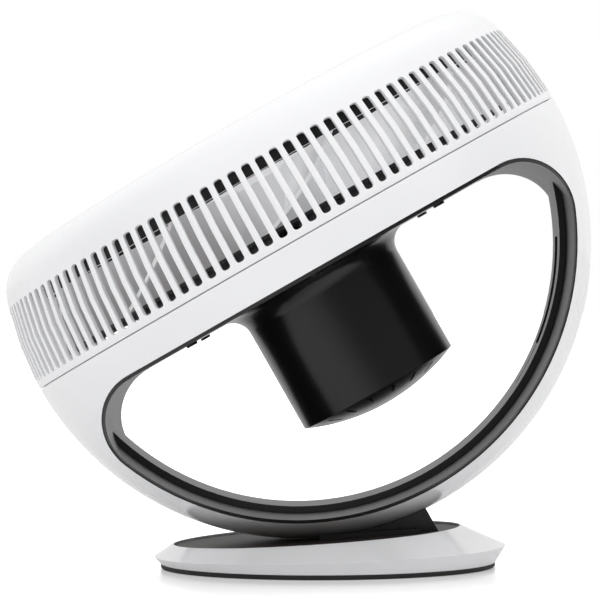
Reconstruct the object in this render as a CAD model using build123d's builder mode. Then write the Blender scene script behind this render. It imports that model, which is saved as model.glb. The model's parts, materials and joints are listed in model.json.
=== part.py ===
from build123d import *

import os
from math import asin, cos, degrees, radians, sin, sqrt, tan

# Air circulator fan. A ball-shaped head with a slotted ring stands on its own hoop, and the hoop
# tilts in a cradle on a round base. Millimetres, +Z up, origin at the middle of the base's underside.
# The head looks towards -X and upwards, and its tilt axis runs along Y through the ball's centre.

# Head
head_radius = 175.0
head_centre = Vector(-17.5, 0, 192.3)
rest_tilt = 29.3
seam_gap = 0.7
ring_wall = 4.3
front_depth = 74.3
front_corner = 26.0
mouth_radius = 138.0
mouth_lip = 2.5
mouth_lip_depth = 8.5

# Slots in the ring
slot_count = 120
slot_width = 5.3
slot_end_chamfer = 1.6
slot_first = 4.5
slot_last = 50.5

# Hoop and its window
shell_wall = 3.0
window_radius = 162.3
window_top = 18.7
window_corner = 32.0
liner_wall = 2.0
liner_recess = 0.4
groove_radius = 158.0
band_radius = 154.6
band_half_width = 27.5
band_wall = 2.0
recess_depth = 1.2
recess_start = 28.0
recess_middle = 38.0
recess_end = 62.0
wide_recess_half_width = 10.0
thin_recess_half_width = 2.0
tongue_length = 3.3
tongue_wall = 2.2

# Guide rail round the hoop, in degrees from the motor's axis
rail_radius = 174.8
rail_half_width = 9.0
rail_flange_half_width = 13.0
rail_flange_wall = 2.4
rail_start = -87.3
rail_end = 28.6
rail_trim = 0.1

# Rear cover and motor pod
cover_wall = 2.1
cover_half_length = 118.6
pod_radius = 50.2
pod_wall = 2.6
pod_depth = 98.1
pod_flare = 12.0
cap_crown = 10.6
cap_wall = 2.4
cap_skirt = 9.0
vent_count = 18
vent_length = 9.5
vent_width = 2.0
vent_radius = 41.0
cover_screw_radius = 158.0
cover_screw_angles = (60, 90, 120, 240, 270, 300)
cover_boss_width = 9.0
cover_boss_depth = 10.0

# Outlet duct and front grille
duct_radius = 153.0
duct_wall = 2.5
duct_rear = 43.5
duct_bend = 12.0
grille_depth = 4.5
grille_rim_width = 3.0
grille_setback = 0.8
vane_count = 36
vane_width = 1.8
vane_lean = 28.0
vane_phase = 4.0
vane_inset = 0.6
grille_ring_radius = 92.0
grille_ring_width = 1.8
grille_hub_radius = 40.0
grille_cap_radius = 36.0
grille_cap_crown = 3.0

# Impeller
blade_count = 9
blade_phase = 3.0
blade_tip_radius = 150.0
blade_root_radius = 36.0
blade_overrun = 3.0
blade_wrap = 24.0
blade_camber = 3.0
blade_thickness = 2.0
blade_front = 44.0
blade_rear = 11.0
hub_radius = 45.0
hub_wall = 2.6
disc_thickness = 2.0
disc_boss_radius = 7.5
disc_boss_length = 6.0
tip_ring_width = 3.0
tip_ring_depth = 1.2

# Motor
shaft_radius = 4.0
motor_radius = 36.0
motor_wall = 1.6
motor_length = 42.0
bracket_radius = 62.0
bracket_wall = 2.0
bracket_vents = 6
bracket_vent_radius = 42.0
bracket_vent_size = 5.5
bracket_screw_radius = 54.5
motor_screw_radius = 24.0
motor_screw_start = 30.0
bracket_screw_start = 45.0
seat_wall = 2.2
stator_bore_radius = 21.0
winding_gap = 1.5
stator_slots = 12
stator_slot_depth = 8.0
stator_slot_width = 2.4
winding_height = 5.0
rotor_radius = 20.4
core_length = 26.0
bearing_radius = 11.0
bearing_width = 6.0
nut_radius = 7.0
nut_length = 6.0
driver_board_radius = 40.0
driver_board_setback = 14.0
board_post_radius = 33.0
board_post_size = 2.5
chip_height = 3.0
board_thickness = 1.6

# Base
pad_radius = 99.4
pad_height = 2.8
pad_chamfer = 0.8
floor_thickness = 2.5
knuckle_radius = 104.5
knuckle_centre = Vector(1.3, 0, 9.85)
knuckle_tilt = 1.62
rim_centre = Vector(-6.6, 0, 19.3)
rim_radius = 86.4
rim_tilt = 3.5
base_wall = 2.5
plate_radius = 85.2
plate_setback = 1.2
plate_thickness = 2.5
plate_boss_radius = 30.0
plate_boss_thickness = 2.4
ledge_width = 5.0
ledge_thickness = 1.8
base_screw_circle = 90.0
weight_radius = 76.0
weight_start = -20.0
weight_height = 6.0

# Cradle and its rollers, in degrees from straight below the ball's centre towards +X
cradle_start = 4.1
cradle_end = 25.7
cradle_half_width = 27.0
cradle_flange_half_width = 38.0
cradle_flange_height = 3.0
cradle_flange_end = 72.0
cradle_lean = 29.0
cradle_thread = 2.0
cradle_screw_start = 40.0
cradle_screw_end = 66.0
cradle_screw_width = 44.0
keel_wall = 3.0
cradle_middle = 14.4
roller_spread = 6.35
roller_radius = 4.0
roller_width = 10.0
axle_radius = 1.5
axle_length = 19.0
keel_half_width = 12.0

# Small electrics
inlet_height = 8.7
inlet_bore = 2.75
inlet_rim = 0.9
inlet_gap = 0.6
inlet_body = Vector(12.0, 9.0, 6.4)
inlet_nose = 4.6
inlet_depth = 9.0
inlet_pin = 0.8
control_board_size = Vector(34.0, 50.0)
control_board_start = -74.0
board_post_height = 2.0

# Fits
fit = 0.05
clearance = 0.3
overlap = 1.0
ball_clearance = 0.6
screw_sides = 8
screw_radius = 1.7
screw_head_radius = 3.3
screw_head_height = 1.5
screw_length = 8.0
motor_screw_length = 5.0
base_screw_length = 7.0

# Directions and planes of the head
back = Vector(sin(radians(rest_tilt)), 0, -cos(radians(rest_tilt)))
out = Vector(cos(radians(rest_tilt)), 0, sin(radians(rest_tilt)))
head_axis = Axis(head_centre, back)
tilt_axis = Axis(head_centre, (0, 1, 0))
# In this plane x runs out from the head's axis and y runs back from the seam.
side = Plane(origin=head_centre, x_dir=out, z_dir=(0, 1, 0))
# In this plane x points to +X and y straight down, from the ball's centre.
downward = Plane(origin=head_centre, x_dir=(1, 0, 0), z_dir=(0, 1, 0))
rim = Plane(rim_centre, x_dir=(cos(radians(rim_tilt)), 0, sin(radians(rim_tilt))),
            z_dir=(-sin(radians(rim_tilt)), 0, cos(radians(rim_tilt))))
knuckle = Plane(knuckle_centre, x_dir=(cos(radians(knuckle_tilt)), 0, sin(radians(knuckle_tilt))),
                z_dir=(-sin(radians(knuckle_tilt)), 0, cos(radians(knuckle_tilt))))


def across(distance):
    """The plane square to the head's axis, that far behind the seam, facing back."""
    return Plane(origin=head_centre + back * distance, x_dir=out, z_dir=back)


def save(builder, name):
    builder.part.label = name
    export_step(builder.part, f"parts/{name}.step")


def ball_height(radius, distance):
    """How far from the head's axis a ball of that radius reaches, that far from its middle."""
    return sqrt(radius**2 - distance**2)


def window_outline(inset):
    """Draws the window's outline, moved in by inset: a round hoop with a flat top."""
    Circle(window_radius - inset)
    with Locations((0, window_top + inset)):
        Rectangle(2 * head_radius, 2 * head_radius, align=(Align.CENTER, Align.MAX), mode=Mode.SUBTRACT)


def window_prism(inset, half_length):
    """The window's passage along Y, moved in by inset."""
    with BuildPart() as prism:
        with BuildSketch(side) as outline:
            window_outline(inset)
            fillet(outline.vertices(), window_corner - inset)
        extrude(amount=half_length, both=True)
    return prism.part


def turned(points):
    """A solid turned about the head's axis from a closed outline of (out, back) points."""
    with BuildPart() as solid:
        with BuildSketch(side):
            with BuildLine():
                Polyline(*points, close=True)
            make_face()
        revolve(axis=head_axis)
    return solid.part


def washer(inner, outer, start, end):
    """A plain ring about the head's axis between two radii and two distances."""
    return turned([(inner, start), (outer, start), (outer, end), (inner, end)])


def facing_out(angle, distance, radius):
    """A plane that faces straight out from the head's axis, with its x running back."""
    outward = out.rotate(Axis((0, 0, 0), back), angle)
    return Plane(origin=head_centre + back * distance + outward * radius, x_dir=back, z_dir=outward)


def round_band(inner, outer, half_width, start, end):
    """A curved strip that follows the hoop between two angles from the motor's axis."""
    with BuildPart() as strip:
        with BuildSketch(side):
            with BuildLine():
                rim_line = CenterArc((0, 0), outer, 90 - end, end - start)
                root_line = CenterArc((0, 0), inner, 90 - end, end - start)
                Line(rim_line @ 0, root_line @ 0)
                Line(rim_line @ 1, root_line @ 1)
            make_face()
        extrude(amount=half_width, both=True)
    return strip.part


def ball(radius):
    """A solid ball about the head's centre."""
    with BuildPart() as solid:
        with Locations(head_centre):
            Sphere(radius)
    return solid.part


def crown_ball(radius, crown, top):
    """The ball whose cap, of that radius and height, crowns a disc and ends at top on the axis.

    It bulges to the back, or to the front where the height is negative.
    """
    size = (radius**2 + crown**2) / (2 * abs(crown))
    with BuildPart() as solid:
        with Locations(head_centre + back * (top - size * (1 if crown > 0 else -1))):
            Sphere(size, rotation=(90, 0, 0))
    return solid.part


def screws(planes, width, head_height, length):
    """Pan-head screws: each plane lies under a head and faces away from the thread."""
    with BuildPart() as group:
        with BuildSketch(*planes):
            RegularPolygon(width, screw_sides)
        extrude(amount=head_height)
        with BuildSketch(*planes):
            RegularPolygon(screw_radius, screw_sides)
        extrude(amount=-length)
    return group


os.makedirs("parts", exist_ok=True)

# Front ring: one moulding, with a flat front, a soft corner and a slotted wall
corner_drop = front_depth - front_corner
corner_angle = degrees(asin(corner_drop / (head_radius - front_corner)))
corner_out = ball_height(head_radius - front_corner, corner_drop)
half_seam = seam_gap / 2
ring_inside = head_radius - ring_wall
front_inside = ring_wall - front_depth
lip_end = mouth_lip_depth - front_depth
seam_angle = degrees(asin(half_seam / head_radius))
slot_length = slot_last - slot_first
slot_middle = (slot_first + slot_last) / 2

with BuildPart() as front_ring:
    with BuildSketch(side):
        with BuildLine():
            outer_wall = CenterArc((0, 0), head_radius, -seam_angle, seam_angle - corner_angle)
            CenterArc((corner_out, -corner_drop), front_corner, -corner_angle, corner_angle - 90)
            inner_wall = CenterArc((0, 0), ring_inside, -seam_angle, seam_angle - corner_angle)
            CenterArc((corner_out, -corner_drop), front_corner - ring_wall, -corner_angle, corner_angle - 90)
            Line(outer_wall @ 0, inner_wall @ 0)
            Polyline((corner_out, -front_depth),
                     (mouth_radius, -front_depth),
                     (mouth_radius, lip_end),
                     (mouth_radius + mouth_lip, lip_end),
                     (mouth_radius + mouth_lip, front_inside),
                     (corner_out, front_inside))
        make_face()
    revolve(axis=head_axis)
    slot_step = 360 / slot_count
    slot_planes = [facing_out((turn + 0.5) * slot_step, -slot_middle, duct_radius) for turn in range(slot_count)]
    with BuildSketch(*slot_planes):
        outline = Rectangle(slot_length, slot_width)
        chamfer(outline.vertices(), slot_end_chamfer)
    extrude(amount=head_radius - duct_radius, mode=Mode.SUBTRACT)
save(front_ring, "front_ring")

# Outlet duct: guides the air from the blade tips to the mouth
with BuildPart() as outlet_duct:
    duct_front = front_inside + clearance
    lip_outside = mouth_radius + mouth_lip + clearance
    add(turned([(duct_radius, -duct_rear),
                (duct_radius + duct_wall, -duct_rear),
                (duct_radius + duct_wall, duct_front + duct_bend),
                (lip_outside + duct_wall, duct_front),
                (lip_outside, duct_front),
                (lip_outside, duct_front + duct_wall),
                (duct_radius, duct_front + duct_bend + duct_wall / 2)]))
save(outlet_duct, "outlet_duct")

# Front grille: leaning vanes between a hub and a rim, with one ring across them
grille_face = grille_setback - front_depth
grille_rim_radius = mouth_radius - clearance
vane_end_radius = grille_rim_radius - grille_rim_width / 2
vane_reach = grille_hub_radius - overlap
vane_lean_across = vane_reach * sin(radians(vane_lean))
vane_length = sqrt(vane_end_radius**2 - vane_lean_across**2) - vane_reach * cos(radians(vane_lean))

with BuildPart() as front_grille:
    with BuildSketch(across(grille_face)):
        Circle(grille_rim_radius)
        Circle(grille_rim_radius - grille_rim_width, mode=Mode.SUBTRACT)
        Circle(grille_ring_radius + grille_ring_width / 2)
        Circle(grille_ring_radius - grille_ring_width / 2, mode=Mode.SUBTRACT)
        Circle(grille_hub_radius)
    extrude(amount=grille_depth)
    with BuildSketch(across(grille_face + vane_inset)):
        with PolarLocations(vane_reach, vane_count, start_angle=vane_phase):
            Rectangle(vane_length, vane_width, rotation=vane_lean, align=(Align.MIN, Align.CENTER))
    extrude(amount=grille_depth - 2 * vane_inset)
save(front_grille, "front_grille")

with BuildPart() as grille_cap:
    with BuildSketch(across(grille_face - grille_cap_crown)):
        Circle(grille_cap_radius)
    extrude(amount=grille_cap_crown)
    add(crown_ball(grille_cap_radius, -grille_cap_crown, grille_face - grille_cap_crown), mode=Mode.INTERSECT)
save(grille_cap, "grille_cap")

# Impeller: twisted blades on a hollow hub, with a thin ring round their front tips
shaft_bore = shaft_radius + fit
hub_front = -blade_front - hub_wall
hub_chamfer = 4.0


def blade_section(radius):
    """Draws a blade's slightly hollow section, that far out from the head's axis."""
    half_wrap = radius * tan(radians(blade_wrap / 2))
    front_point = Vector(-blade_front - overlap, half_wrap)
    rear_point = Vector(-blade_rear + overlap, -half_wrap)
    middle = (front_point + rear_point) * 0.5
    chord = (rear_point - front_point).normalized()
    normal = Vector(-chord.Y, chord.X)
    half = normal * (blade_thickness / 2)
    bow = normal * blade_camber
    with BuildLine() as section:
        ThreePointArc(front_point + half, middle + bow + half, rear_point + half)
        Line(rear_point + half, rear_point - half)
        ThreePointArc(rear_point - half, middle + bow - half, front_point - half)
        Line(front_point - half, front_point + half)
    make_face(section.edges())


with BuildPart() as impeller:
    for blade in range(blade_count):
        angle = blade * 360 / blade_count + blade_phase
        with BuildSketch(facing_out(angle, 0, blade_root_radius)):
            blade_section(blade_root_radius)
        with BuildSketch(facing_out(angle, 0, blade_tip_radius + blade_overrun)):
            blade_section(blade_tip_radius + blade_overrun)
        loft(ruled=True)
    add(washer(hub_radius - hub_wall / 2, blade_tip_radius, -blade_front, -blade_rear), mode=Mode.INTERSECT)
    add(turned([(shaft_bore, hub_front),
                (hub_radius - hub_chamfer, hub_front),
                (hub_radius, hub_front + hub_chamfer),
                (hub_radius, -blade_rear),
                (hub_radius - hub_wall, -blade_rear),
                (hub_radius - hub_wall, hub_front + hub_chamfer),
                (hub_radius - hub_chamfer - hub_wall / 2, hub_front + hub_wall),
                (disc_boss_radius, hub_front + hub_wall),
                (disc_boss_radius, -blade_rear),
                (shaft_bore, -blade_rear)]))
    add(washer(blade_tip_radius - tip_ring_width, blade_tip_radius, -blade_front - tip_ring_depth / 2,
               -blade_front + tip_ring_depth / 2))
save(impeller, "impeller")

# Backing disc behind the blades, with the boss that shows between it and the cover
with BuildPart() as impeller_disc:
    disc_back = disc_thickness - blade_rear
    add(turned([(shaft_bore, -blade_rear),
                (blade_tip_radius, -blade_rear),
                (blade_tip_radius, disc_back),
                (disc_boss_radius, disc_back),
                (disc_boss_radius, disc_back + disc_boss_length),
                (shaft_bore, disc_back + disc_boss_length)]))
save(impeller_disc, "impeller_disc")

# Shaft, its nut and the rotor
cover_front = window_top + fit
motor_back = cover_front + motor_length
core_start = cover_front + (motor_length - core_length) / 2

with BuildPart() as motor_shaft:
    with BuildSketch(across(hub_front - nut_length - overlap)):
        Circle(shaft_radius)
    extrude(amount=motor_back + overlap - (hub_front - nut_length - overlap))
save(motor_shaft, "motor_shaft")

with BuildPart() as impeller_nut:
    with BuildSketch(across(hub_front - nut_length)):
        RegularPolygon(nut_radius, 6)
        Circle(shaft_bore, mode=Mode.SUBTRACT)
    extrude(amount=nut_length)
save(impeller_nut, "impeller_nut")

with BuildPart() as motor_rotor:
    add(washer(shaft_bore, rotor_radius, core_start, core_start + core_length))
save(motor_rotor, "motor_rotor")

# Motor: a drawn can, a slotted core, its windings, an end cap and two bearings
can_inside = motor_radius - motor_wall
seat_radius = bearing_radius + fit
seat_outside = seat_radius + seat_wall

with BuildPart() as motor_housing:
    add(turned([(seat_radius, cover_front),
                (motor_radius, cover_front),
                (motor_radius, motor_back),
                (can_inside, motor_back),
                (can_inside, cover_front + motor_wall),
                (seat_outside, cover_front + motor_wall),
                (seat_outside, cover_front + bearing_width),
                (seat_radius, cover_front + bearing_width)]))
    with BuildSketch(across(cover_front)):
        with PolarLocations(motor_screw_radius, 3, start_angle=motor_screw_start):
            Circle(screw_radius + fit)
    extrude(amount=motor_wall, mode=Mode.SUBTRACT)
save(motor_housing, "motor_housing")

with BuildPart() as motor_end_cap:
    cap_inside = can_inside - fit
    add(turned([(seat_radius, motor_back - bearing_width),
                (seat_outside, motor_back - bearing_width),
                (seat_outside, motor_back - motor_wall),
                (cap_inside, motor_back - motor_wall),
                (cap_inside, motor_back),
                (seat_radius, motor_back)]))
save(motor_end_cap, "motor_end_cap")

with BuildPart() as motor_bearings:
    add(washer(shaft_bore, bearing_radius, cover_front, cover_front + bearing_width))
    add(washer(shaft_bore, bearing_radius, motor_back - bearing_width, motor_back))
save(motor_bearings, "motor_bearings")

with BuildPart() as motor_stator:
    with BuildSketch(across(core_start)):
        Circle(can_inside - fit)
        Circle(stator_bore_radius, mode=Mode.SUBTRACT)
        with PolarLocations(stator_bore_radius, stator_slots):
            Rectangle(stator_slot_depth * 2, stator_slot_width, mode=Mode.SUBTRACT)
    extrude(amount=core_length)
save(motor_stator, "motor_stator")

with BuildPart() as motor_windings:
    winding_inside = stator_bore_radius + winding_gap
    winding_outside = can_inside - 2
    add(washer(winding_inside, winding_outside, core_start - winding_height, core_start))
    add(washer(winding_inside, winding_outside, core_start + core_length, core_start + core_length + winding_height))
save(motor_windings, "motor_windings")

# Bracket that hangs the motor from the cover's front face
with BuildPart() as motor_bracket:
    with BuildSketch(across(cover_front - bracket_wall)):
        Circle(bracket_radius)
        Circle(bearing_radius - overlap, mode=Mode.SUBTRACT)
        with PolarLocations(bracket_vent_radius, bracket_vents):
            Circle(bracket_vent_size, mode=Mode.SUBTRACT)
        with PolarLocations(bracket_screw_radius, 4, start_angle=bracket_screw_start):
            Circle(screw_radius + fit, mode=Mode.SUBTRACT)
        with PolarLocations(motor_screw_radius, 3, start_angle=motor_screw_start):
            Circle(screw_radius + fit, mode=Mode.SUBTRACT)
    extrude(amount=bracket_wall)
save(motor_bracket, "motor_bracket")

# Rear cover: a plate across the head's back that flares into the motor pod
cover_back = cover_front + cover_wall
pod_inside = pod_radius - pod_wall
ball_skin = head_radius - liner_recess
flare_out = pod_radius + pod_flare
flare_end = cover_back + pod_flare

with BuildPart() as rear_cover:
    with BuildSketch(side):
        with BuildLine():
            Polyline((pod_inside, cover_front),
                     (head_radius, cover_front),
                     (head_radius, cover_back),
                     (flare_out, cover_back))
            CenterArc((flare_out, flare_end), pod_flare, 180, 90)
            Polyline((pod_radius, flare_end),
                     (pod_radius, pod_depth),
                     (pod_inside, pod_depth),
                     (pod_inside, cover_front))
        make_face()
    revolve(axis=head_axis)
    add(ball(ball_skin), mode=Mode.INTERSECT)
    with BuildSketch(across(cover_front)):
        Rectangle(2 * cover_half_length, 2 * head_radius)
    extrude(amount=pod_depth, mode=Mode.INTERSECT)
    with BuildSketch(across(cover_front)):
        for angle in cover_screw_angles:
            with PolarLocations(cover_screw_radius, 1, start_angle=angle):
                Circle(screw_radius + fit)
    extrude(amount=cover_wall, mode=Mode.SUBTRACT)
    with BuildSketch(across(cover_front)):
        with PolarLocations(bracket_screw_radius, 4, start_angle=bracket_screw_start):
            Circle(screw_radius + fit)
    extrude(amount=motor_screw_length - bracket_wall + fit, mode=Mode.SUBTRACT)
save(rear_cover, "rear_cover")

# Pod cap: a crowned lid with radial vents, a skirt that fits the pod and posts for the driver board
cap_start = pod_depth + fit
cap_rim = pod_radius - clearance
board_front = pod_depth - driver_board_setback
board_back = board_front + board_thickness
vent_step = 360 / vent_count

with BuildPart() as pod_cap:
    with BuildSketch(across(cap_start)):
        Circle(cap_rim)
    extrude(amount=cap_crown)
    with BuildSketch(across(cap_start)):
        Circle(pod_inside - fit)
    extrude(amount=-cap_skirt)
    add(crown_ball(cap_rim, cap_crown, cap_start + cap_crown), mode=Mode.INTERSECT)
    with BuildPart(mode=Mode.PRIVATE) as cap_hollow:
        with BuildSketch(across(cap_start - cap_skirt)):
            Circle(pod_inside - cap_wall)
        extrude(amount=cap_skirt + cap_crown)
        add(crown_ball(cap_rim, cap_crown, cap_start + cap_crown - cap_wall), mode=Mode.INTERSECT)
    add(cap_hollow.part, mode=Mode.SUBTRACT)
    with BuildSketch(across(cap_start)):
        with PolarLocations(vent_radius, vent_count):
            Rectangle(vent_length, vent_width)
    extrude(amount=cap_crown, mode=Mode.SUBTRACT)
    with BuildSketch(across(board_back)):
        with PolarLocations(board_post_radius, 3, start_angle=vent_step / 2):
            Circle(board_post_size)
    extrude(until=Until.NEXT)
save(pod_cap, "pod_cap")

with BuildPart() as driver_board:
    with BuildSketch(across(board_front)):
        Circle(driver_board_radius)
    extrude(amount=board_thickness)
    with BuildSketch(across(board_front)):
        with Locations((0, 14), (-16, -8)):
            Rectangle(12, 9)
        with Locations((15, -10)):
            Circle(5)
    extrude(amount=-chip_height)
save(driver_board, "driver_board")

# Screws of the cover, the bracket and the motor
cover_screw_planes = [
    Plane(origin=across(cover_back).from_local_coords(
        (cover_screw_radius * cos(radians(angle)), cover_screw_radius * sin(radians(angle)), 0)), z_dir=back)
    for angle in cover_screw_angles]
cover_screws = screws(cover_screw_planes, screw_head_radius, screw_head_height, screw_length)
save(cover_screws, "cover_screws")

bracket_front = cover_front - bracket_wall
motor_screw_planes = [
    Plane(origin=across(bracket_front).from_local_coords(
        (radius * cos(radians(angle)), radius * sin(radians(angle)), 0)), z_dir=-back)
    for radius, angle in [(bracket_screw_radius, 45 + 90 * turn) for turn in range(4)]
    + [(motor_screw_radius, 30 + 120 * turn) for turn in range(3)]]
motor_screws = screws(motor_screw_planes, screw_head_radius, screw_head_height, motor_screw_length)
save(motor_screws, "motor_screws")

# Hoop: the white shell, cut by the window, with the tongue that centres the front ring
shell_inside = head_radius - shell_wall
rail_gap = (0.5 * clearance)

with BuildPart() as hoop_shell:
    with BuildSketch(side):
        Circle(head_radius)
        Circle(shell_inside, mode=Mode.SUBTRACT)
        with Locations((0, half_seam)):
            Rectangle(head_radius, head_radius, align=(Align.MIN, Align.MIN), mode=Mode.INTERSECT)
    revolve(axis=head_axis)
    tongue_outside = ball_height(ring_inside, tongue_length) - clearance
    with BuildPart(mode=Mode.PRIVATE) as tongue:
        add(turned([(tongue_outside - tongue_wall, -tongue_length),
                    (tongue_outside, -tongue_length),
                    (tongue_outside, half_seam),
                    (head_radius, half_seam),
                    (head_radius, half_seam + tongue_wall),
                    (tongue_outside - tongue_wall, half_seam + tongue_wall)]))
        add(ball(head_radius - shell_wall / 2), mode=Mode.INTERSECT)
    add(tongue.part)
    with BuildPart(mode=Mode.PRIVATE) as bosses:
        with BuildSketch(across(window_top - cover_boss_depth)):
            for angle in cover_screw_angles:
                with PolarLocations(cover_screw_radius, 1, start_angle=angle):
                    Rectangle(head_radius - cover_screw_radius, cover_boss_width, align=(Align.MIN, Align.CENTER))
                    Circle(cover_boss_width / 2)
                    Circle(screw_radius + fit, mode=Mode.SUBTRACT)
        extrude(amount=cover_boss_depth)
        add(ball(head_radius - shell_wall / 2), mode=Mode.INTERSECT)
    add(bosses.part)
    add(window_prism(0, head_radius), mode=Mode.SUBTRACT)
    add(round_band(window_radius, head_radius + overlap, rail_half_width + rail_gap, rail_start, rail_end),
        mode=Mode.SUBTRACT)
save(hoop_shell, "hoop_shell")

# Guide rail: its flange lies inside the shell and its face stands in the shell's slot
with BuildPart() as guide_rail:
    flange_top = ball_height(shell_inside, rail_flange_half_width) - clearance
    add(round_band(flange_top, rail_radius, rail_half_width, rail_start + rail_trim, rail_end - rail_trim))
    add(round_band(flange_top - rail_flange_wall, flange_top, rail_flange_half_width, rail_start, rail_end))
save(guide_rail, "guide_rail")

# Liner: the black trough inside the hoop, with its raised middle band
liner_outside = window_radius - clearance
liner_inset = clearance + liner_wall
hoop_half_width = ball_height(head_radius, liner_outside)

with BuildPart() as hoop_liner:
    with BuildSketch(Plane(origin=head_centre, x_dir=back, z_dir=back.cross(Vector(0, 1, 0)))):
        with BuildLine() as half_section:
            Polyline((band_radius, 0),
                     (band_radius, band_half_width),
                     (groove_radius, band_half_width),
                     (window_radius - liner_inset, hoop_half_width),
                     (liner_outside, hoop_half_width),
                     (liner_outside, band_half_width + band_wall),
                     (band_radius + band_wall, band_half_width - band_wall),
                     (band_radius + band_wall, 0))
            mirror(about=Plane.XZ)
        make_face()
    revolve(axis=tilt_axis)
    add(window_prism(clearance, head_radius), mode=Mode.INTERSECT)
    with BuildPart(mode=Mode.PRIVATE) as frame_wall:
        add(window_prism(clearance, head_radius))
        add(window_prism(liner_inset, head_radius), mode=Mode.SUBTRACT)
    add(frame_wall.part)
    with BuildSketch(across(0)):
        Rectangle(2 * (cover_half_length + clearance), 2 * head_radius)
    extrude(amount=cover_back + liner_wall, mode=Mode.SUBTRACT)
    add(ball(ball_skin), mode=Mode.INTERSECT)
    add(round_band(band_radius - overlap, band_radius + recess_depth, wide_recess_half_width, recess_middle, recess_end),
        mode=Mode.SUBTRACT)
    add(round_band(band_radius - overlap, band_radius + recess_depth, thin_recess_half_width, recess_start, recess_middle),
        mode=Mode.SUBTRACT)
save(hoop_liner, "hoop_liner")

# Base: rubber pad, floor, ballast and the flared white shell
floor_top = pad_height + floor_thickness
shell_floor_radius = pad_radius - base_wall - clearance


def base_form(inset):
    """The base's flared outer form, or its hollow where inset is the wall."""
    with BuildPart() as form:
        with BuildSketch(Plane.XY.offset(pad_height)):
            Circle(pad_radius - inset)
        with BuildSketch(knuckle):
            Circle(knuckle_radius - inset)
        loft(ruled=True)
        with BuildSketch(knuckle):
            Circle(knuckle_radius - inset)
        with BuildSketch(rim.offset(-inset)):
            Circle(rim_radius - inset)
        loft(ruled=True)
    return form.part


plate_bottom = rim.offset(-plate_setback - plate_thickness)
base_screw_spots = [(base_screw_circle * cos(radians(angle)), base_screw_circle * sin(radians(angle)))
                    for angle in (45, 135, 225, 315)]

with BuildPart() as base_pad:
    with BuildSketch(Plane.XY):
        Circle(pad_radius)
    extrude(amount=pad_height)
    chamfer(base_pad.edges().group_by(Axis.Z)[0], pad_chamfer)
save(base_pad, "base_pad")

with BuildPart() as base_floor:
    with BuildSketch(Plane.XY.offset(pad_height)):
        Circle(shell_floor_radius)
    extrude(amount=floor_thickness)
    with BuildSketch(Plane.XY.offset(floor_top)):
        with Locations((control_board_start + control_board_size.X / 2, 0)):
            with GridLocations(control_board_size.X - 8, control_board_size.Y - 8, 2, 2):
                Circle(2.5)
    extrude(amount=board_post_height)
    with BuildSketch(Plane.XY.offset(pad_height)):
        with Locations(*base_screw_spots):
            Circle(screw_head_radius + fit)
    extrude(amount=screw_head_height + fit, mode=Mode.SUBTRACT)
    with BuildSketch(Plane.XY.offset(pad_height)):
        with Locations(*base_screw_spots):
            Circle(screw_radius + fit)
    extrude(amount=floor_thickness, mode=Mode.SUBTRACT)
save(base_floor, "base_floor")

base_screw_planes = [Plane(origin=(x, y, pad_height + screw_head_height + fit), z_dir=(0, 0, -1))
                     for x, y in base_screw_spots]
base_screws = screws(base_screw_planes, screw_head_radius, screw_head_height, base_screw_length)
save(base_screws, "base_screws")

inlet_back = shell_floor_radius - inlet_body.X
inlet_plane = Plane(origin=(shell_floor_radius, 0, inlet_height), x_dir=(0, 1, 0), z_dir=(1, 0, 0))

with BuildPart() as base_shell:
    add(base_form(0))
    add(base_form(base_wall), mode=Mode.SUBTRACT)
    with BuildPart(mode=Mode.PRIVATE) as inside:
        with BuildSketch(plate_bottom):
            Circle(plate_radius + ledge_width)
            Circle(plate_radius - ledge_width, mode=Mode.SUBTRACT)
        extrude(amount=-ledge_thickness)
        with BuildSketch(Plane.XY.offset(floor_top + fit)):
            with Locations(*base_screw_spots):
                Circle(screw_head_radius + overlap)
        extrude(amount=rim_centre.Z)
        add(base_form(base_wall / 2), mode=Mode.INTERSECT)
    add(inside.part)
    with BuildSketch(plate_bottom):
        Circle(plate_radius + rail_gap)
    extrude(amount=plate_setback + plate_thickness, mode=Mode.SUBTRACT)
    with BuildSketch(Plane.XY.offset(floor_top)):
        with Locations(*base_screw_spots):
            Circle(screw_radius + fit)
    extrude(amount=base_screw_length, mode=Mode.SUBTRACT)
    with BuildSketch(inlet_plane):
        Circle(inlet_bore + inlet_rim)
    extrude(amount=2 * base_wall + knuckle_radius - pad_radius, mode=Mode.SUBTRACT)
save(base_shell, "base_shell")

# Top plate: dished for the ball, with the opening that the cradle's keel goes through
plate_face = rim.offset(-plate_setback)
cradle_left = head_radius * sin(radians(cradle_start))
saddle_radius = rail_radius + clearance * 2
cradle_top_right = saddle_radius * sin(radians(cradle_end))
cradle_top_down = saddle_radius * cos(radians(cradle_end))
roller_path = rail_radius + fit + roller_radius
roller_angles = (cradle_middle - roller_spread, cradle_middle + roller_spread)
roller_spots = [(roller_path * sin(radians(angle)), roller_path * cos(radians(angle))) for angle in roller_angles]
pocket_radius = roller_radius + 2 * clearance
keel_left = roller_spots[0][0] - pocket_radius - keel_wall
keel_right = roller_spots[1][0] + pocket_radius + keel_wall
keel_bottom = roller_spots[0][1] + pocket_radius + keel_wall / 2
cradle_screw_spots = [(head_centre.X - rim_centre.X + along, across_it * cradle_screw_width / 2)
                      for along in (cradle_screw_start, cradle_screw_end) for across_it in (-1, 1)]


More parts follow.
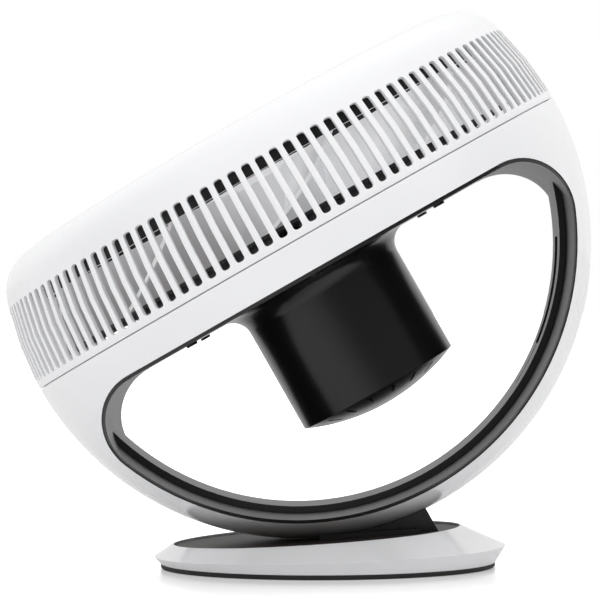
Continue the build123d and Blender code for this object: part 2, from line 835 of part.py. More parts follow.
with BuildPart() as top_plate:
    with BuildSketch(plate_face):
        Circle(plate_radius)
    extrude(amount=-plate_thickness)
    with BuildSketch(plate_bottom):
        Circle(plate_boss_radius)
    extrude(amount=-plate_boss_thickness)
    with Locations(head_centre):
        Sphere(head_radius + ball_clearance, rotation=(90, 0, 0), mode=Mode.SUBTRACT)
    with BuildSketch(Plane.XY):
        with Locations((head_centre.X + (keel_left + keel_right) / 2, 0)):
            Rectangle(keel_right - keel_left + 2 * clearance, 2 * (keel_half_width + clearance))
    extrude(amount=head_centre.Z / 2, mode=Mode.SUBTRACT)
    with BuildSketch(plate_bottom):
        with Locations(*cradle_screw_spots):
            Circle(screw_radius + fit)
    extrude(amount=plate_thickness, mode=Mode.SUBTRACT)
save(top_plate, "top_plate")

# Cradle: a block whose saddle follows the ball, with a keel that holds the rollers
with BuildPart() as cradle_block:
    with BuildSketch(downward):
        with BuildLine():
            slope = tan(radians(cradle_lean))
            Polyline((cradle_left, window_radius / 2),
                     (cradle_top_right - (cradle_top_down - window_radius / 2) * slope, window_radius / 2),
                     (cradle_top_right + (head_centre.Z - cradle_top_down) * slope, head_centre.Z),
                     (cradle_left, head_centre.Z),
                     close=True)
        make_face()
    extrude(amount=cradle_half_width, both=True)
    with BuildSketch(plate_face):
        with Locations((head_centre.X + (cradle_left + cradle_flange_end) / 2 - rim_centre.X, 0)):
            Rectangle(cradle_flange_end - cradle_left, 2 * cradle_flange_half_width)
    extrude(amount=cradle_flange_height)
    split(bisect_by=plate_face, keep=Keep.TOP)
    with BuildSketch(downward):
        with Locations(((keel_left + keel_right) / 2, keel_bottom)):
            Rectangle(keel_right - keel_left, keel_bottom - window_radius, align=(Align.CENTER, Align.MAX))
    extrude(amount=keel_half_width, both=True)
    with Locations(head_centre):
        Sphere(saddle_radius, rotation=(90, 0, 0), mode=Mode.SUBTRACT)
    with BuildSketch(downward):
        with Locations(*roller_spots):
            Circle(pocket_radius)
    extrude(amount=roller_width / 2 + clearance, both=True, mode=Mode.SUBTRACT)
    with BuildSketch(downward):
        with Locations(*roller_spots):
            Circle(axle_radius + fit)
    extrude(amount=axle_length / 2 + fit, both=True, mode=Mode.SUBTRACT)
    with BuildSketch(plate_face):
        with Locations(*cradle_screw_spots):
            Circle(screw_radius + fit)
    extrude(amount=cradle_thread + fit, mode=Mode.SUBTRACT)
save(cradle_block, "cradle_block")

cradle_screw_planes = [Plane(origin=plate_bottom.from_local_coords((x, y, 0)), z_dir=-rim.z_dir)
                       for x, y in cradle_screw_spots]
cradle_screws = screws(cradle_screw_planes, screw_head_radius, screw_head_height, plate_thickness + cradle_thread)
save(cradle_screws, "cradle_screws")

with BuildPart() as roller_axles:
    with BuildSketch(downward):
        with Locations(*roller_spots):
            Circle(axle_radius)
    extrude(amount=axle_length / 2, both=True)
save(roller_axles, "roller_axles")

for name, spot in zip(("left_roller", "right_roller"), roller_spots):
    with BuildPart() as roller:
        with BuildSketch(downward):
            with Locations(spot):
                Circle(roller_radius)
                Circle(axle_radius + fit, mode=Mode.SUBTRACT)
        extrude(amount=roller_width / 2, both=True)
    save(roller, name)

# Inside the base: two weights beside the keel, the control board and the power inlet
with BuildPart() as base_weights:
    with BuildSketch(Plane.XY.offset(floor_top)):
        Circle(weight_radius)
        with Locations((weight_start, 0)):
            Rectangle(2 * weight_radius, 2 * weight_radius, align=(Align.MIN, Align.CENTER), mode=Mode.INTERSECT)
        Rectangle(2 * weight_radius, 2 * (keel_half_width + 2), mode=Mode.SUBTRACT)
    extrude(amount=weight_height)
save(base_weights, "base_weights")

with BuildPart() as control_board:
    with BuildSketch(Plane.XY.offset(floor_top + board_post_height)):
        with Locations((control_board_start + control_board_size.X / 2, 0)):
            Rectangle(control_board_size.X, control_board_size.Y)
    extrude(amount=board_thickness)
    with BuildSketch(Plane.XY.offset(floor_top + board_post_height + board_thickness)):
        with Locations((control_board_start + control_board_size.X / 2, 0)):
            Rectangle(10, 10)
            with Locations((2, 16)):
                Rectangle(16, 6)
    extrude(amount=1)
save(control_board, "control_board")

with BuildPart() as power_inlet:
    with BuildSketch(Plane.XY.offset(floor_top)):
        with Locations((inlet_back, 0)):
            Rectangle(inlet_body.X, inlet_body.Y, align=(Align.MIN, Align.CENTER))
    extrude(amount=inlet_body.Z)
    with BuildSketch(inlet_plane):
        Circle(inlet_bore + inlet_gap)
    extrude(amount=inlet_nose)
    with BuildSketch(inlet_plane.offset(inlet_nose)):
        Circle(inlet_bore)
        Circle(inlet_pin, mode=Mode.SUBTRACT)
    extrude(amount=-inlet_depth, mode=Mode.SUBTRACT)
save(power_inlet, "power_inlet")
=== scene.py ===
import json
from math import asin, cos, pi, radians, sin, sqrt

import bpy
from mathutils import Matrix, Vector


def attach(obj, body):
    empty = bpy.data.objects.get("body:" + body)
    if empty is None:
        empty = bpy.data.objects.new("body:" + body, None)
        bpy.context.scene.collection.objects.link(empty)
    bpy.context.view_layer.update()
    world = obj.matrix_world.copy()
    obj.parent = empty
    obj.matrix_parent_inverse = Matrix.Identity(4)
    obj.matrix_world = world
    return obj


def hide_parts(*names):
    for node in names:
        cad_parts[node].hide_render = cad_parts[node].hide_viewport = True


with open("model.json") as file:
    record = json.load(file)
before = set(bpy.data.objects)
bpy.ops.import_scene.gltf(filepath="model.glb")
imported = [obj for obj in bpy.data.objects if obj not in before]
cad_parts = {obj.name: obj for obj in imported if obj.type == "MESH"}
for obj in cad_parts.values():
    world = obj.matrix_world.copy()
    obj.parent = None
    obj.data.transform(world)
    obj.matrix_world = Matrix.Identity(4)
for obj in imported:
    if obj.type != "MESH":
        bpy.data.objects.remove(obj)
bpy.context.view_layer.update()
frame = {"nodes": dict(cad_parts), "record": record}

# Sizes shared with the solids, in metres
HEAD_CENTRE = Vector((-0.0175, 0, 0.1923))
HEAD_RADIUS = 0.175
REST_TILT = radians(29.3)
BACK = Vector((sin(REST_TILT), 0, -cos(REST_TILT)))
OUT = Vector((cos(REST_TILT), 0, sin(REST_TILT)))
ACROSS = Vector((0, 1, 0))

RING_WALL = 0.0025
SEAM = 0.00035
SLOTS = 120
SLOT_WIDTH = 0.0053
SLOT_START = 0.0045
SLOT_END = 0.0505
FRONT_DEPTH = 0.0743
FRONT_CORNER = 0.026
MOUTH_RADIUS = 0.138
MOUTH_LIP_DEPTH = 0.006
CORNER_STEPS = 7
WRAP_RADIUS = HEAD_RADIUS * 0.985
EDGE_SOFTNESS = 0.00055
WELD = 0.000002
BALL_TOLERANCE = 0.0004

# Small steps that several pieces share


def select_only(piece):
    bpy.ops.object.select_all(action="DESELECT")
    piece.select_set(True)
    bpy.context.view_layer.objects.active = piece


def clear_selection(kind):
    """Leaves edit mode with nothing selected, ready to pick faces or corners by their place."""
    bpy.ops.mesh.select_mode(type=kind)
    bpy.ops.mesh.select_all(action="DESELECT")
    bpy.ops.object.mode_set(mode="OBJECT")


def apply_all(piece):
    select_only(piece)
    for step in list(piece.modifiers):
        bpy.ops.object.modifier_apply(modifier=step.name)


def settle(piece):
    """The piece's place goes into its mesh."""
    select_only(piece)
    bpy.ops.object.transform_apply(location=True, rotation=True, scale=True)


def smooth(piece, angle=35):
    select_only(piece)
    bpy.ops.object.shade_smooth_by_angle(angle=radians(angle))


def on_head(distance, along, height):
    """The point that far from the seam, out along the head and across it."""
    return HEAD_CENTRE + BACK * distance + OUT * along + ACROSS * height


BODIES = frame["record"]["behaviour"]["bodies"]
BODY_OF = {node: body for body, nodes in BODIES.items() for node in nodes}


def finish_copy(node, name, material, angle=32, on_ball=None):
    """A welded copy of a solid with smooth faces takes its place."""
    piece = bpy.data.objects.new(name, frame["nodes"][node].data.copy())
    bpy.context.scene.collection.objects.link(piece)
    select_only(piece)
    bpy.ops.mesh.customdata_custom_splitnormals_clear()
    bpy.ops.object.mode_set(mode="EDIT")
    bpy.ops.mesh.select_all(action="SELECT")
    bpy.ops.mesh.remove_doubles(threshold=WELD)
    bpy.ops.object.mode_set(mode="OBJECT")
    smooth(piece, angle)
    weigh = piece.modifiers.new("even shading", "WEIGHTED_NORMAL")
    weigh.keep_sharp = True
    weigh.weight = 80
    apply_all(piece)
    if on_ball:
        round_normals(piece, on_ball)
    piece.data.materials.clear()
    piece.data.materials.append(material)
    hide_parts(node)
    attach(piece, BODY_OF[node])
    return piece


def round_normals(piece, radius):
    """Faces that lie on the head's ball are shaded as a true ball."""
    mesh = piece.data
    normals = [corner.vector.copy() for corner in mesh.corner_normals]
    for face in mesh.polygons:
        offset = face.center - HEAD_CENTRE
        on_skin = abs(offset.length - radius) < BALL_TOLERANCE
        if on_skin and abs(offset.normalized().dot(face.normal)) > 0.99:
            for corner in face.loop_indices:
                place = mesh.vertices[mesh.loops[corner].vertex_index].co
                normals[corner] = (place - HEAD_CENTRE).normalized()
    mesh.normals_split_custom_set(normals)


# Effects that several finishes share


def new_group(name, inputs, outputs):
    group = bpy.data.node_groups.new(name, "ShaderNodeTree")
    for label, kind, value in inputs:
        socket = group.interface.new_socket(label, in_out="INPUT", socket_type=kind)
        socket.default_value = value
    for label, kind in outputs:
        group.interface.new_socket(label, in_out="OUTPUT", socket_type=kind)
    start = group.nodes.new("NodeGroupInput")
    end = group.nodes.new("NodeGroupOutput")
    return group, start, end


def put(tree, kind, **settings):
    node = tree.nodes.new("ShaderNode" + kind)
    for label, value in settings.items():
        setattr(node, label, value)
    return node


def build_moulded_skin():
    """Moulded plastic: fine grain, faint flow marks in the colour and uneven polish."""
    group, start, end = new_group(
        "moulded_skin",
        [("Color", "NodeSocketColor", (0.8, 0.8, 0.8, 1)),
         ("Flow Color", "NodeSocketColor", (0.7, 0.7, 0.7, 1)),
         ("Roughness", "NodeSocketFloat", 0.3), ("Spread", "NodeSocketFloat", 0.08),
         ("Grain Scale", "NodeSocketFloat", 2500.0), ("Flow Scale", "NodeSocketFloat", 9.0)],
        [("Color", "NodeSocketColor"), ("Roughness", "NodeSocketFloat"), ("Height", "NodeSocketFloat")])
    place = put(group, "TexCoord")
    grain = put(group, "TexNoise")
    flow = put(group, "TexNoise")
    flow.inputs["Detail"].default_value = 5
    flow.inputs["Distortion"].default_value = 0.6
    shade = put(group, "Mix", data_type="RGBA")
    polish = put(group, "MapRange")
    low = put(group, "Math", operation="SUBTRACT")
    high = put(group, "Math", operation="ADD")
    link = group.links.new
    link(place.outputs["Object"], grain.inputs["Vector"])
    link(place.outputs["Object"], flow.inputs["Vector"])
    link(start.outputs["Grain Scale"], grain.inputs["Scale"])
    link(start.outputs["Flow Scale"], flow.inputs["Scale"])
    link(flow.outputs["Fac"], shade.inputs["Factor"])
    link(start.outputs["Color"], shade.inputs["A"])
    link(start.outputs["Flow Color"], shade.inputs["B"])
    link(start.outputs["Roughness"], low.inputs[0])
    link(start.outputs["Spread"], low.inputs[1])
    link(start.outputs["Roughness"], high.inputs[0])
    link(start.outputs["Spread"], high.inputs[1])
    link(flow.outputs["Fac"], polish.inputs["Value"])
    link(low.outputs[0], polish.inputs["To Min"])
    link(high.outputs[0], polish.inputs["To Max"])
    link(shade.outputs["Result"], end.inputs["Color"])
    link(polish.outputs["Result"], end.inputs["Roughness"])
    link(grain.outputs["Fac"], end.inputs["Height"])
    return group


def build_reach_mask():
    """A mask that grows between two distances from the head's axis."""
    group, start, end = new_group(
        "reach_from_axis",
        [("From", "NodeSocketFloat", 0.1), ("To", "NodeSocketFloat", 0.2)],
        [("Mask", "NodeSocketFloat")])
    place = put(group, "TexCoord")
    centre = put(group, "VectorMath", operation="SUBTRACT")
    centre.inputs[1].default_value = HEAD_CENTRE
    cross = put(group, "VectorMath", operation="CROSS_PRODUCT")
    cross.inputs[1].default_value = BACK
    length = put(group, "VectorMath", operation="LENGTH")
    fade = put(group, "MapRange", interpolation_type="SMOOTHSTEP")
    link = group.links.new
    link(place.outputs["Object"], centre.inputs[0])
    link(centre.outputs[0], cross.inputs[0])
    link(cross.outputs[0], length.inputs[0])
    link(length.outputs["Value"], fade.inputs["Value"])
    link(start.outputs["From"], fade.inputs["From Min"])
    link(start.outputs["To"], fade.inputs["From Max"])
    link(fade.outputs["Result"], end.inputs["Mask"])
    return group


def build_turned_metal():
    """Drawn or turned metal: fine streaks around and light stains."""
    group, start, end = new_group(
        "turned_metal",
        [("Color", "NodeSocketColor", (0.6, 0.6, 0.6, 1)),
         ("Stain Color", "NodeSocketColor", (0.4, 0.4, 0.4, 1)),
         ("Roughness", "NodeSocketFloat", 0.3), ("Streak Scale", "NodeSocketFloat", 900.0)],
        [("Color", "NodeSocketColor"), ("Roughness", "NodeSocketFloat"), ("Height", "NodeSocketFloat")])
    place = put(group, "TexCoord")
    stretch = put(group, "Mapping")
    stretch.inputs["Scale"].default_value = (1, 0.1, 1)
    streak = put(group, "TexNoise")
    stain = put(group, "TexNoise")
    stain.inputs["Scale"].default_value = 60
    stain.inputs["Detail"].default_value = 6
    shade = put(group, "Mix", data_type="RGBA")
    uneven = put(group, "Math", operation="MULTIPLY_ADD")
    uneven.inputs[1].default_value = 0.2
    link = group.links.new
    link(place.outputs["Object"], stretch.inputs["Vector"])
    link(stretch.outputs["Vector"], streak.inputs["Vector"])
    link(start.outputs["Streak Scale"], streak.inputs["Scale"])
    link(place.outputs["Object"], stain.inputs["Vector"])
    link(stain.outputs["Fac"], shade.inputs["Factor"])
    link(start.outputs["Color"], shade.inputs["A"])
    link(start.outputs["Stain Color"], shade.inputs["B"])
    link(streak.outputs["Fac"], uneven.inputs[0])
    link(start.outputs["Roughness"], uneven.inputs[2])
    link(shade.outputs["Result"], end.inputs["Color"])
    link(uneven.outputs[0], end.inputs["Roughness"])
    link(streak.outputs["Fac"], end.inputs["Height"])
    return group


MOULDED_SKIN = build_moulded_skin()
REACH_MASK = build_reach_mask()
TURNED_METAL = build_turned_metal()


def new_material(name):
    material = bpy.data.materials.new(name)
    material.use_nodes = True
    tree = material.node_tree
    return material, tree, tree.nodes["Principled BSDF"]


def add_bump(tree, height, shader, strength, distance):
    bump = put(tree, "Bump")
    bump.inputs["Strength"].default_value = strength
    bump.inputs["Distance"].default_value = distance
    tree.links.new(height, bump.inputs["Height"])
    tree.links.new(bump.outputs["Normal"], shader.inputs["Normal"])


def plastic(name, color, flow_color, roughness, spread,
            grain=2500.0, flow=9.0, coat=0.0, bump=0.05, specular=0.5):
    material, tree, shader = new_material(name)
    skin = put(tree, "Group", node_tree=MOULDED_SKIN)
    skin.inputs["Color"].default_value = (*color, 1)
    skin.inputs["Flow Color"].default_value = (*flow_color, 1)
    skin.inputs["Roughness"].default_value = roughness
    skin.inputs["Spread"].default_value = spread
    skin.inputs["Grain Scale"].default_value = grain
    skin.inputs["Flow Scale"].default_value = flow
    tree.links.new(skin.outputs["Color"], shader.inputs["Base Color"])
    tree.links.new(skin.outputs["Roughness"], shader.inputs["Roughness"])
    add_bump(tree, skin.outputs["Height"], shader, bump, 0.0002)
    shader.inputs["Specular IOR Level"].default_value = specular
    shader.inputs["Coat Weight"].default_value = coat
    shader.inputs["Coat Roughness"].default_value = 0.06
    return material


def metal(name, color, stain, roughness, streaks=900.0):
    material, tree, shader = new_material(name)
    turned = put(tree, "Group", node_tree=TURNED_METAL)
    turned.inputs["Color"].default_value = (*color, 1)
    turned.inputs["Stain Color"].default_value = (*stain, 1)
    turned.inputs["Roughness"].default_value = roughness
    turned.inputs["Streak Scale"].default_value = streaks
    tree.links.new(turned.outputs["Color"], shader.inputs["Base Color"])
    tree.links.new(turned.outputs["Roughness"], shader.inputs["Roughness"])
    shader.inputs["Metallic"].default_value = 1.0
    add_bump(tree, turned.outputs["Height"], shader, 0.08, 0.0001)
    return material


def blade_with_painted_tip_light(name, color, tip_highlight_color):
    """Smoky translucent blade plastic. The blade tips are paler from a painted highlight, and a painted glow
    stands for light shining through the plastic.
    """
    material, tree, shader = new_material(name)
    skin = put(tree, "Group", node_tree=MOULDED_SKIN)
    skin.inputs["Color"].default_value = (*color, 1)
    skin.inputs["Flow Color"].default_value = (*(c * 0.86 for c in color), 1)
    skin.inputs["Roughness"].default_value = 0.32
    skin.inputs["Spread"].default_value = 0.06
    # Painted highlight: the colour turns paler where the blade tips reach out from the head's axis
    reach = put(tree, "Group", node_tree=REACH_MASK)
    reach.inputs["From"].default_value = 0.1478
    reach.inputs["To"].default_value = 0.1492
    shade = put(tree, "Mix", data_type="RGBA")
    shade.inputs["B"].default_value = (*tip_highlight_color, 1)
    tree.links.new(reach.outputs["Mask"], shade.inputs["Factor"])
    tree.links.new(skin.outputs["Color"], shade.inputs["A"])
    tree.links.new(shade.outputs["Result"], shader.inputs["Base Color"])
    tree.links.new(skin.outputs["Roughness"], shader.inputs["Roughness"])
    add_bump(tree, skin.outputs["Height"], shader, 0.05, 0.0002)
    # Painted glow: the blade colour is also emitted, standing in for light passing through the thin plastic
    tree.links.new(shade.outputs["Result"], shader.inputs["Emission Color"])
    shader.inputs["Emission Strength"].default_value = 0.24
    shader.inputs["Subsurface Weight"].default_value = 0.15
    shader.inputs["Subsurface Scale"].default_value = 0.004
    return material


# Finishes

white_shell = plastic("gloss white shell",
                      (0.86, 0.862, 0.875), (0.845, 0.846, 0.858), 0.17, 0.03, coat=0.35, bump=0.02)
grille_white = plastic("satin white grille",
                       (0.82, 0.822, 0.83), (0.8, 0.8, 0.808), 0.3, 0.05, bump=0.03)
pod_black = plastic("semi-gloss black pod",
                    (0.006, 0.006, 0.0065), (0.01, 0.01, 0.011), 0.24, 0.04, bump=0.03)
liner_grey = plastic("dark grey liner",
                     (0.03, 0.03, 0.032), (0.038, 0.038, 0.039), 0.36, 0.06, bump=0.06, specular=0.16)
rail_black = plastic("polished black rail",
                     (0.008, 0.008, 0.008), (0.012, 0.012, 0.012), 0.14, 0.04, coat=0.3)
plate_brown = plastic("satin dark top plate",
                      (0.05, 0.042, 0.036), (0.06, 0.051, 0.044), 0.4, 0.04, bump=0.02, specular=0.03)
cradle_black = plastic("moulded black cradle",
                       (0.012, 0.012, 0.012), (0.018, 0.018, 0.018), 0.3, 0.06, bump=0.08)
duct_black = plastic("satin black duct",
                     (0.016, 0.016, 0.017), (0.022, 0.022, 0.022), 0.38, 0.06, bump=0.08)
disc_black = plastic("dark impeller disc", (0.02, 0.02, 0.021), (0.03, 0.03, 0.031), 0.35, 0.06)
rubber = plastic("soft rubber pad",
                 (0.014, 0.014, 0.014), (0.022, 0.021, 0.02), 0.72, 0.1, grain=1400.0, bump=0.35)
inner_white = plastic("plain white moulding",
                      (0.72, 0.72, 0.72), (0.68, 0.68, 0.68), 0.42, 0.06, bump=0.08)
board_green = plastic("coated circuit board",
                      (0.012, 0.09, 0.045), (0.016, 0.11, 0.05), 0.32, 0.05, grain=900.0, flow=120.0)
roller_grey = plastic("hard grey roller", (0.16, 0.16, 0.165), (0.13, 0.13, 0.135), 0.36, 0.08)
blade_smoke = blade_with_painted_tip_light("smoke grey blade", (0.74, 0.745, 0.76), (0.9, 0.9, 0.91))
steel = metal("bright steel", (0.62, 0.62, 0.63), (0.5, 0.5, 0.51), 0.22)
zinc = metal("zinc plated steel", (0.56, 0.57, 0.58), (0.42, 0.43, 0.45), 0.34, 500.0)
core_steel = metal("laminated core steel", (0.28, 0.28, 0.29), (0.18, 0.18, 0.19), 0.42, 1800.0)
copper = metal("enamelled copper", (0.62, 0.25, 0.1), (0.48, 0.17, 0.06), 0.3, 2400.0)
black_screw = metal("blackened screw", (0.05, 0.05, 0.052), (0.03, 0.03, 0.03), 0.36)
iron = metal("cast iron weight", (0.2, 0.195, 0.19), (0.13, 0.12, 0.11), 0.55, 200.0)

# Front ring with its slotted wall

arc_angle = asin((FRONT_DEPTH - FRONT_CORNER) / (HEAD_RADIUS - FRONT_CORNER))
corner_out = sqrt((HEAD_RADIUS - FRONT_CORNER) ** 2 - (FRONT_DEPTH - FRONT_CORNER) ** 2)
WALL_RUN = HEAD_RADIUS * arc_angle
CORNER_RUN = FRONT_CORNER * (pi / 2 - arc_angle)
FLAT_RUN = corner_out - MOUTH_RADIUS


def ring_section(run):
    """Radius and distance from the seam, a length along the ring's outer skin."""
    if run <= WALL_RUN:
        turn = run / HEAD_RADIUS
        return HEAD_RADIUS * cos(turn), -HEAD_RADIUS * sin(turn)
    run -= WALL_RUN
    if run <= CORNER_RUN:
        turn = arc_angle + run / FRONT_CORNER
        return corner_out + FRONT_CORNER * cos(turn), FRONT_CORNER - FRONT_DEPTH - FRONT_CORNER * sin(turn)
    run -= CORNER_RUN
    if run <= FLAT_RUN:
        return corner_out - run, -FRONT_DEPTH
    return MOUTH_RADIUS, -FRONT_DEPTH + run - FLAT_RUN


def ball_run(distance):
    return HEAD_RADIUS * asin(distance / HEAD_RADIUS)


def make_front_ring():
    """One slotted step is modelled flat, repeated around and wrapped on the head's form."""
    step = 2 * pi / SLOTS
    half = SLOT_WIDTH / 2 / WRAP_RADIUS
    first, last = ball_run(SLOT_START), ball_run(SLOT_END)
    end = half * WRAP_RADIUS
    rows = [SEAM, first, first + end, (first + last) / 2, last - end, last, WALL_RUN]
    rows += [WALL_RUN + CORNER_RUN * n / CORNER_STEPS for n in range(1, CORNER_STEPS + 1)]
    mouth_edge = WALL_RUN + CORNER_RUN + FLAT_RUN
    rows += [mouth_edge, mouth_edge + MOUTH_LIP_DEPTH]
    columns = [-step / 2, -half, half, step / 2]
    bpy.ops.object.select_all(action="DESELECT")
    bpy.ops.mesh.primitive_grid_add(x_subdivisions=3, y_subdivisions=len(rows) - 1, size=1)
    piece = bpy.context.object
    piece.name = "front_ring_shell"
    mesh = piece.data
    low_x = sorted({round(v.co.x, 4) for v in mesh.vertices})
    low_y = sorted({round(v.co.y, 4) for v in mesh.vertices})
    for v in mesh.vertices:
        v.co = (columns[low_x.index(round(v.co.x, 4))], rows[low_y.index(round(v.co.y, 4))], 0)
    bpy.ops.object.mode_set(mode="EDIT")
    clear_selection("FACE")
    for face in mesh.polygons:
        face.select = abs(face.center.x) < half / 2 and first < face.center.y < last
    bpy.ops.object.mode_set(mode="EDIT")
    bpy.ops.mesh.delete(type="FACE")
    clear_selection("VERT")
    for v in mesh.vertices:
        v.co.x *= WRAP_RADIUS
    for v in mesh.vertices:
        v.select = abs(abs(v.co.x) - end) < 1e-6 and (abs(v.co.y - first) < 1e-6 or abs(v.co.y - last) < 1e-6)
    bpy.ops.object.mode_set(mode="EDIT")
    bpy.ops.mesh.bevel(offset=end * 0.98, segments=4, affect="VERTICES", clamp_overlap=True)
    bpy.ops.object.mode_set(mode="OBJECT")
    row = piece.modifiers.new("around", "ARRAY")
    row.count = SLOTS
    row.use_relative_offset = False
    row.use_constant_offset = True
    row.constant_offset_displace = (step * WRAP_RADIUS, 0, 0)
    row.use_merge_vertices = True
    row.merge_threshold = 0.00001
    apply_all(piece)
    for v in mesh.vertices:
        turn = v.co.x / WRAP_RADIUS + step / 2
        radius, distance = ring_section(v.co.y)
        v.co = on_head(distance, radius * cos(turn), radius * sin(turn))
    bpy.ops.object.mode_set(mode="EDIT")
    bpy.ops.mesh.select_all(action="SELECT")
    bpy.ops.mesh.remove_doubles(threshold=0.00002)
    bpy.ops.mesh.normals_make_consistent(inside=False)
    bpy.ops.object.mode_set(mode="OBJECT")
    face = max(mesh.polygons, key=lambda f: f.center.z)
    if face.normal.dot(face.center - HEAD_CENTRE) < 0:
        bpy.ops.object.mode_set(mode="EDIT")
        bpy.ops.mesh.select_all(action="SELECT")
        bpy.ops.mesh.flip_normals()
        bpy.ops.object.mode_set(mode="OBJECT")
    wall = piece.modifiers.new("wall", "SOLIDIFY")
    wall.thickness = RING_WALL
    wall.offset = -1
    wall.use_even_offset = True
    soften = piece.modifiers.new("soft edges", "BEVEL")
    soften.width = EDGE_SOFTNESS
    soften.segments = 2
    soften.limit_method = "ANGLE"
    soften.angle_limit = radians(50)
    soften.use_clamp_overlap = True
    apply_all(piece)
    smooth(piece, 40)
    piece.data.materials.append(white_shell)
    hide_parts("front_ring")
    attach(piece, "head")
    return piece


make_front_ring()

# Pieces that keep their solid's form, with smooth faces

finish_copy("hoop_shell", "hoop_shell_skin", white_shell, on_ball=HEAD_RADIUS)
finish_copy("base_shell", "base_shell_skin", white_shell, angle=40)
finish_copy("hoop_liner", "hoop_liner_skin", liner_grey)
finish_copy("guide_rail", "guide_rail_skin", rail_black)
finish_copy("rear_cover", "rear_cover_skin", pod_black)
finish_copy("pod_cap", "pod_cap_skin", pod_black)
finish_copy("impeller", "impeller_skin", blade_smoke, angle=40)
finish_copy("outlet_duct", "outlet_duct_skin", duct_black)
finish_copy("impeller_disc", "impeller_disc_skin", disc_black)
finish_copy("grille_cap", "grille_cap_skin", grille_white)
finish_copy("front_grille", "front_grille_skin", grille_white)
finish_copy("top_plate", "top_plate_skin", plate_brown)
finish_copy("cradle_block", "cradle_block_skin", cradle_black)
finish_copy("base_pad", "base_pad_skin", rubber)

LOOKS = {
    "base_floor": inner_white, "base_screws": zinc, "base_weights": iron, "control_board": board_green,
    "cover_screws": black_screw, "cradle_screws": black_screw, "driver_board": board_green,
    "impeller_nut": zinc, "left_roller": roller_grey, "right_roller": roller_grey, "roller_axles": steel,
    "motor_bearings": steel, "motor_bracket": zinc, "motor_end_cap": zinc, "motor_housing": zinc,
    "motor_rotor": core_steel, "motor_screws": black_screw, "motor_shaft": steel, "motor_stator": core_steel,
    "motor_windings": copper, "power_inlet": duct_black,
}
for node, material in LOOKS.items():
    solid = frame["nodes"][node]
    solid.data.materials.clear()
    solid.data.materials.append(material)

# Floor, light and camera


def make_floor():
    bpy.ops.object.select_all(action="DESELECT")
    bpy.ops.mesh.primitive_plane_add(size=40, location=(0, 0, -0.0002))
    floor = bpy.context.object
    floor.name = "floor"
    settle(floor)
    material, tree, shader = new_material("pale floor")
    shader.inputs["Roughness"].default_value = 0.14
    shader.inputs["Specular IOR Level"].default_value = 0.6
    place = put(tree, "TexCoord")
    cloud = put(tree, "TexNoise")
    cloud.inputs["Scale"].default_value = 3
    tone = put(tree, "Mix", data_type="RGBA")
    tone.inputs["A"].default_value = (0.88, 0.88, 0.885, 1)
    tone.inputs["B"].default_value = (0.9, 0.9, 0.9, 1)
    reach = put(tree, "VectorMath", operation="LENGTH")
    far = put(tree, "MapRange", interpolation_type="SMOOTHSTEP")
    far.inputs["From Min"].default_value = 0.13
    far.inputs["From Max"].default_value = 0.42
    far.inputs["To Min"].default_value = 0.3
    far.inputs["To Max"].default_value = 1.0
    ray = put(tree, "LightPath")
    seen = put(tree, "Math", operation="MULTIPLY")
    link = tree.links.new
    link(place.outputs["Object"], cloud.inputs["Vector"])
    link(cloud.outputs["Fac"], tone.inputs["Factor"])
    link(tone.outputs["Result"], shader.inputs["Base Color"])
    link(place.outputs["Object"], reach.inputs[0])
    link(reach.outputs["Value"], far.inputs["Value"])
    link(far.outputs["Result"], seen.inputs[0])
    link(ray.outputs["Is Camera Ray"], seen.inputs[1])
    link(seen.outputs[0], shader.inputs["Emission Strength"])
    shader.inputs["Emission Color"].default_value = (1, 1, 1, 1)
    floor.data.materials.append(material)


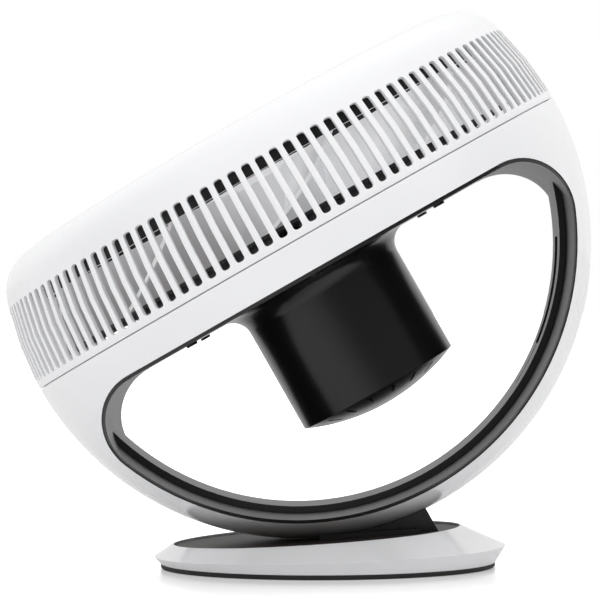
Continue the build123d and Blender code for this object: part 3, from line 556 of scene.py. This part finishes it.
def make_world():
    world = bpy.data.worlds.new("studio")
    world.use_nodes = True
    bpy.context.scene.world = world
    tree = world.node_tree
    sky = tree.nodes["Background"]
    sky.inputs["Color"].default_value = (1, 1, 1, 1)
    ray = put(tree, "LightPath")
    place = put(tree, "TexCoord")
    split = put(tree, "SeparateXYZ")
    behind = put(tree, "MapRange", interpolation_type="SMOOTHSTEP")
    behind.inputs["From Min"].default_value = -0.15
    behind.inputs["From Max"].default_value = 0.75
    behind.inputs["To Min"].default_value = 0.22
    behind.inputs["To Max"].default_value = 0.95
    plain = put(tree, "Mix")
    plain.inputs["A"].default_value = 0.64
    seen = put(tree, "Mix")
    seen.inputs["B"].default_value = 1.0
    link = tree.links.new
    link(place.outputs["Generated"], split.inputs[0])
    link(split.outputs["Y"], behind.inputs["Value"])
    link(ray.outputs["Is Glossy Ray"], plain.inputs["Factor"])
    link(behind.outputs["Result"], plain.inputs["B"])
    link(ray.outputs["Is Camera Ray"], seen.inputs["Factor"])
    link(plain.outputs["Result"], seen.inputs["A"])
    link(seen.outputs["Result"], sky.inputs["Strength"])


def soft_light(name, place, target, width, height, power, mirrored=False):
    data = bpy.data.lights.new(name, "AREA")
    data.shape = "RECTANGLE"
    data.size = width
    data.size_y = height
    data.energy = power
    lamp = bpy.data.objects.new(name, data)
    bpy.context.scene.collection.objects.link(lamp)
    lamp.location = place
    lamp.visible_glossy = mirrored
    lamp.rotation_euler = (Vector(target) - Vector(place)).to_track_quat("-Z", "Y").to_euler()


def aim_camera():
    yaw, pitch, roll = radians(-0.051), radians(-0.193), radians(-0.341)
    forward = Vector((sin(yaw) * cos(pitch), cos(yaw) * cos(pitch), sin(pitch)))
    level = Vector((cos(yaw), -sin(yaw), 0))
    above = level.cross(forward)
    right = level * cos(roll) + above * sin(roll)
    up = above * cos(roll) - level * sin(roll)
    data = bpy.data.cameras.new("camera")
    data.sensor_width = 36
    data.lens = 211.25
    camera = bpy.data.objects.new("camera", data)
    bpy.context.scene.collection.objects.link(camera)
    turn = Matrix((right, up, -forward)).transposed()
    camera.matrix_world = Matrix.Translation((-0.01383, -2.09718, 0.16595)) @ turn.to_4x4()
    bpy.context.scene.camera = camera


make_floor()
make_world()
soft_light("left softbox", (-1.5, -1.5, 1.1), (0, 0, 0.2), 1.0, 1.8, 16)
soft_light("right softbox", (1.7, -1.2, 1.0), (0, 0, 0.2), 0.9, 1.8, 12)
soft_light("top softbox", (0, -0.1, 2.0), (0, 0, 0.2), 1.8, 1.8, 12)
aim_camera()
bpy.context.scene.view_settings.view_transform = "Standard"
